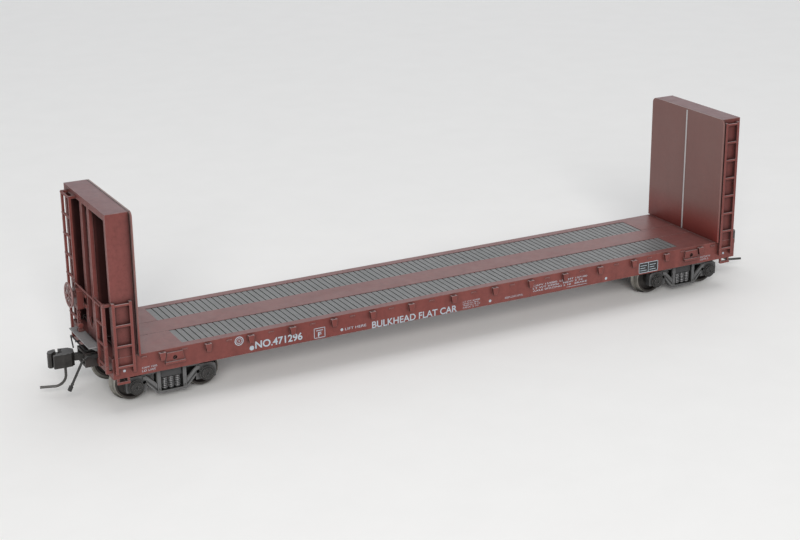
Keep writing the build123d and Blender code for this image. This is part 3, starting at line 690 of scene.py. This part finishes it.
# --- bearing cap bolts and bolster end bosses on the trucks
for tag, cx in (("b", -83.7), ("a", 83.7)):
    bm = bmesh.new()
    for s in (-1, 1):
        for h in (-9.9, 9.9):
            for k in range(3):
                t = math.radians(90 + 120 * k)
                dome(bm, (cx + h + 0.98 * math.cos(t), s * 14.55,
                          4.815 + LIFT + 0.98 * math.sin(t)), (0, s, 0), 0.24, 0.16,
                     seg=6, rings=2, flat=True)
        for dx in (-3.55, 3.55):
            for z in (2.9, 8.2):
                dome(bm, (cx + dx, s * 13.9, z + LIFT), (0, s, 0), 0.2, 0.12, seg=8)
    put("truck_bolts_" + tag, bm, steel, "truck_" + tag)
    # coil windings round the spring nests
    bm = bmesh.new()
    for s in (-1, 1):
        for dx in (-1.8, 0, 1.8):
            pts = []
            turns, seg = 6, 14
            for i in range(turns * seg + 1):
                t = 2 * math.pi * i / seg
                pts.append((cx + dx + 0.68 * math.cos(t), s * 12.85 + 0.68 * math.sin(t),
                            2.62 + LIFT + 3.1 * i / (turns * seg)))
            tube(bm, pts, 0.15, seg=6)
    put("truck_coils_" + tag, bm, coil, "truck_" + tag)

# --- knuckle pin heads
for tag, e in (("b", -1), ("a", 1)):
    bm = bmesh.new()
    dome(bm, (e * 108.49, -e * 3.234, 10.45 + 1.85 + LIFT), (0, 0, 1), 0.5, 0.2, seg=14,
         rings=3)
    put("knuckle_pin_head_" + tag, bm, steel, "draft_coupler_" + tag)

# --- brake chain: real links in place of the plain rod
bm = bmesh.new()
z0, z1 = 17.4, 22.1
n = 8
for i in range(n):
    zc = z0 + (z1 - z0) * (i + 0.5) / n
    half = (z1 - z0) / n * 0.72
    pts = []
    for k in range(16):
        t = 2 * math.pi * k / 16
        a, b = 0.27 * math.cos(t), half * math.sin(t)
        pts.append((-101.45 + (a if i % 2 else 0), 6.1 + (0 if i % 2 else a),
                    zc + b + LIFT))
    tube(bm, pts, 0.11, seg=6, closed=True)
chain = put("brake_chain_links", bm, body, "carbody")
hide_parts("brake_chain")

# --- hose couplings: clamp rings where the hose leaves the cock and the glad hand
bm = bmesh.new()
for p0, p1 in (((-104.3, -4.9, 11.75), (-104.6, -4.9, 11.45)),
               ((-107.9, -4.9, 5.5), (-108.1, -4.9, 5.15))):
    for fl in (lambda q: q, turned):
        a, b = fl(p0), fl(p1)
        tube(bm, [(a[0], a[1], a[2] + LIFT), (b[0], b[1], b[2] + LIFT)], 0.42, seg=14)
put("hose_clamps", bm, steel, "carbody")

# ------------------------------------------------------------------ stage
me = bpy.data.meshes.new("floor")
S = 4.0
me.from_pydata([(-S, -S, 0), (S, -S, 0), (S, S, 0), (-S, S, 0)], [], [(0, 1, 2, 3)])
floor = bpy.data.objects.new("floor", me)
bpy.context.scene.collection.objects.link(floor)
p = Mat("floor_paper", rough=0.95, spec=0.1)
p.color(p.mix(p.noise(60.0, 3.0), (0.90, 0.895, 0.885), (0.94, 0.935, 0.925)))
me.materials.append(p.m)

world = bpy.data.worlds.new("studio")
bpy.context.scene.world = world
world.use_nodes = True
world.node_tree.nodes["Background"].inputs[0].default_value = (0.95, 0.97, 1.0, 1)
world.node_tree.nodes["Background"].inputs[1].default_value = 0.38


def area(name, loc, target, sx, sy, watts, color=(1, 1, 1)):
    d = bpy.data.lights.new(name, "AREA")
    d.shape = "RECTANGLE"
    d.size, d.size_y = sx, sy
    d.energy = watts
    d.color = color
    o = bpy.data.objects.new(name, d)
    o.location = loc
    o.rotation_mode = "QUATERNION"
    o.rotation_quaternion = (Vector(target) - Vector(loc)).to_track_quat("-Z", "Y")
    bpy.context.scene.collection.objects.link(o)


area("key", (-0.55, -1.15, 0.62), (0, 0, 0.02), 0.7, 0.5, 14.5, (1.0, 0.985, 0.96))
area("back", (0.75, 1.25, 0.50), (0, 0, 0.02), 2.4, 0.75, 6.2, (0.97, 0.98, 1.0))
area("top", (0.1, 0.0, 1.4), (0, 0, 0), 1.0, 1.0, 4.0, (1.0, 1.0, 1.0))
